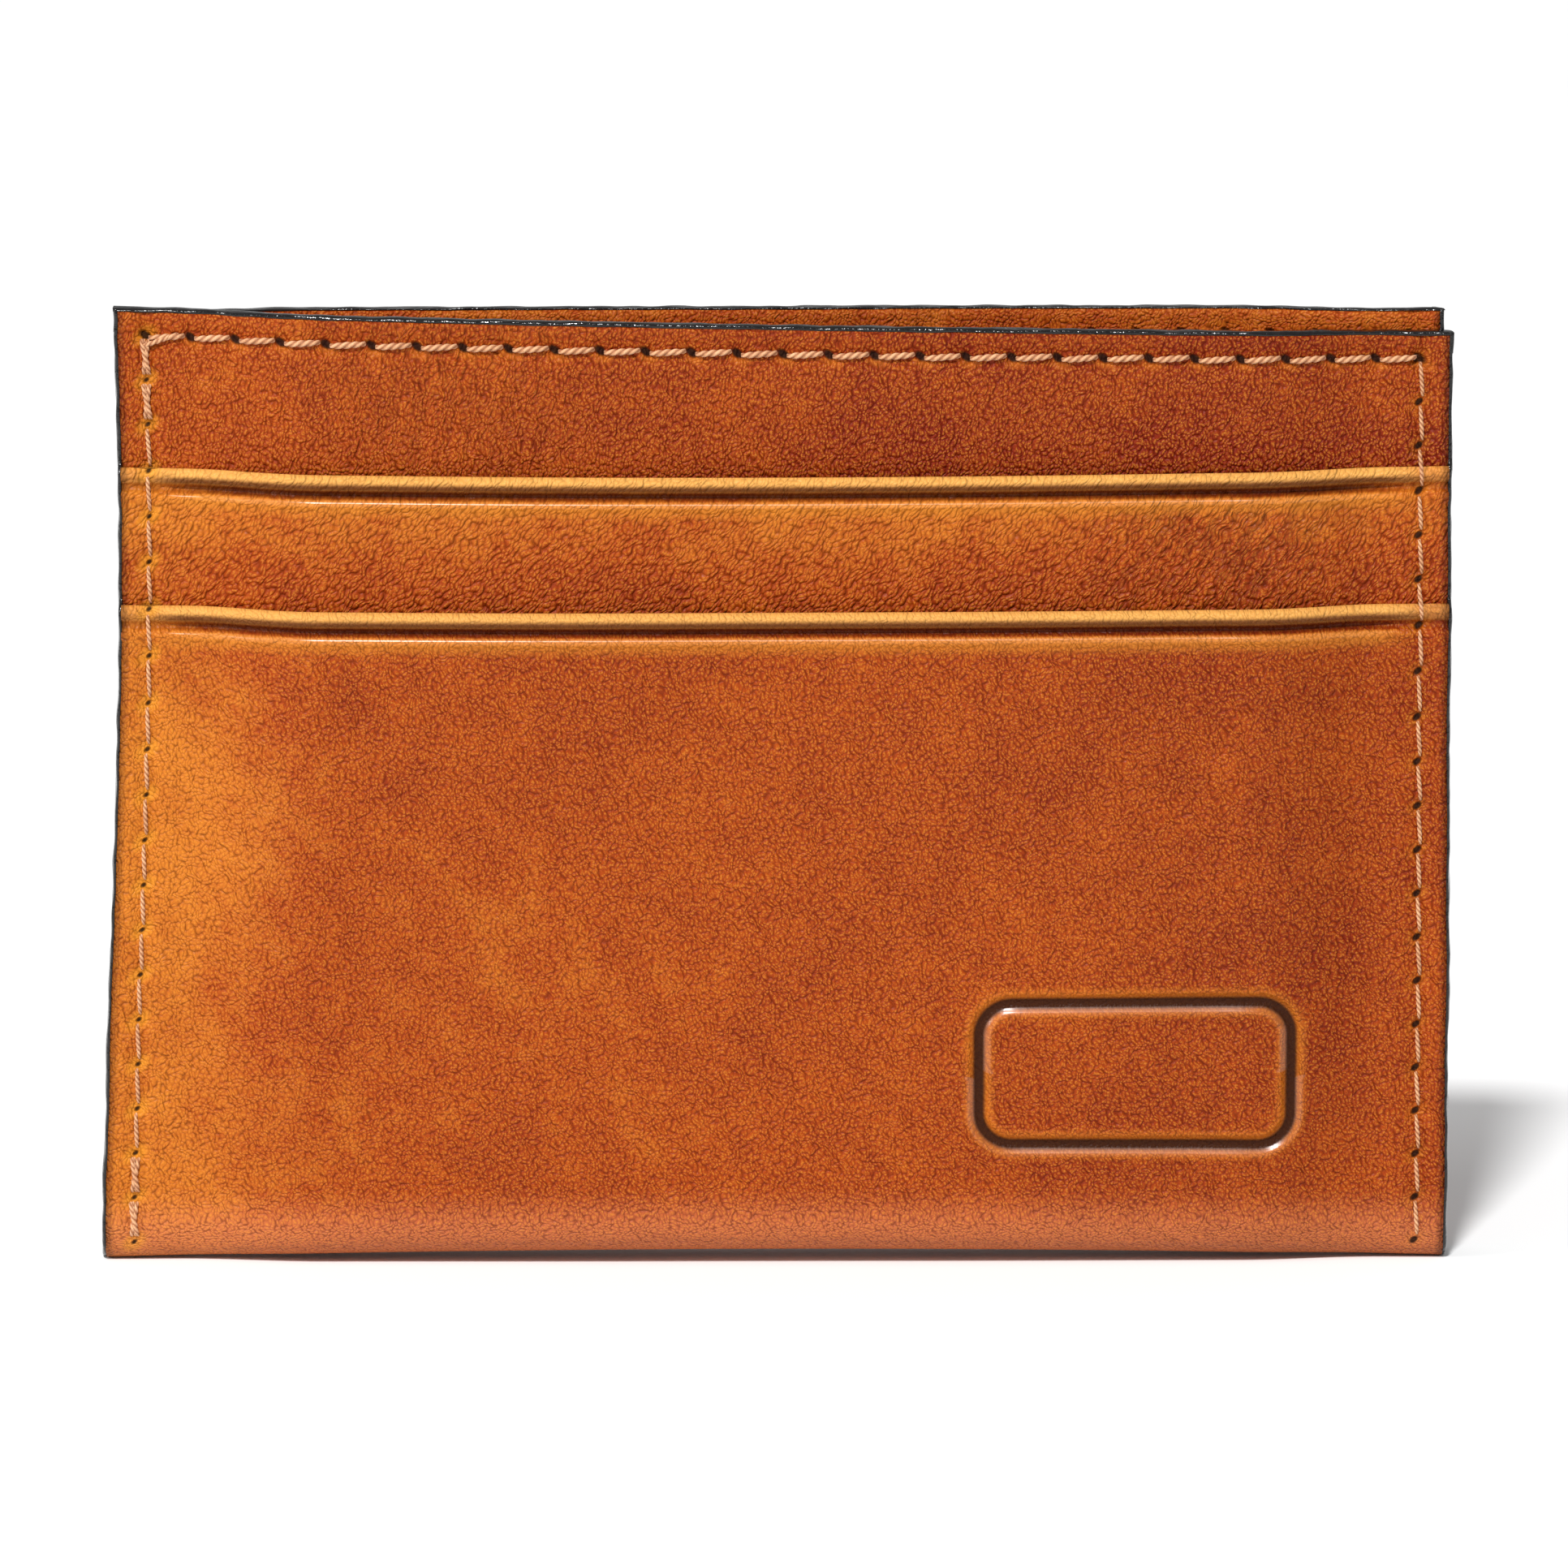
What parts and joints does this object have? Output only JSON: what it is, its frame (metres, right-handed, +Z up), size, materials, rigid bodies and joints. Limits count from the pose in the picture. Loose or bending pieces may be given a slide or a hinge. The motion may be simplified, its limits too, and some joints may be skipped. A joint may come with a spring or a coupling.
{
  "type": "card holder",
  "caption": "Slim stitched leather card case: folded outer pocket, stacked card slots on both faces, open centre pocket, painted edges.",
  "frame": {"origin": "middle of the bottom fold, on the surface the case stands on", "axes": "+X along the width to the right seen from the front, +Y from the front face to the back face, +Z up to the mouths"},
  "size_m": [0.1026, 0.0128, 0.0741],
  "materials": {
    "outer_leather": "pebbled, hand-antiqued cognac, semi-gloss",
    "panel_leather": "pebbled, hand-antiqued cognac, semi-gloss",
    "body_leather": "pebbled, hand-antiqued cognac, semi-gloss",
    "lining_leather": "natural tan, matt",
    "edge_paint": "glossy black beaded edge paint",
    "thread": "twisted tan sewing thread"
  },
  "bodies": {
    "root": {"outer_pocket_wrap": "outer_leather", "front_upper_slot_panel": "panel_leather", "back_upper_slot_panel": "panel_leather", "body_shell": "body_leather", "centre_pocket_lining": "lining_leather", "left_edge_paint": "edge_paint", "right_edge_paint": "edge_paint", "front_mouth_edge_paint": "edge_paint", "back_mouth_edge_paint": "edge_paint", "front_mouth_needle_thread": "thread", "front_mouth_bobbin_thread": "thread", "back_mouth_needle_thread": "thread", "back_mouth_bobbin_thread": "thread", "left_seam_needle_thread": "thread", "left_seam_bobbin_thread": "thread", "right_seam_needle_thread": "thread", "right_seam_bobbin_thread": "thread", "front_slot_anchor_threads": "thread", "back_slot_anchor_threads": "thread"}
  },
  "joints": []
}
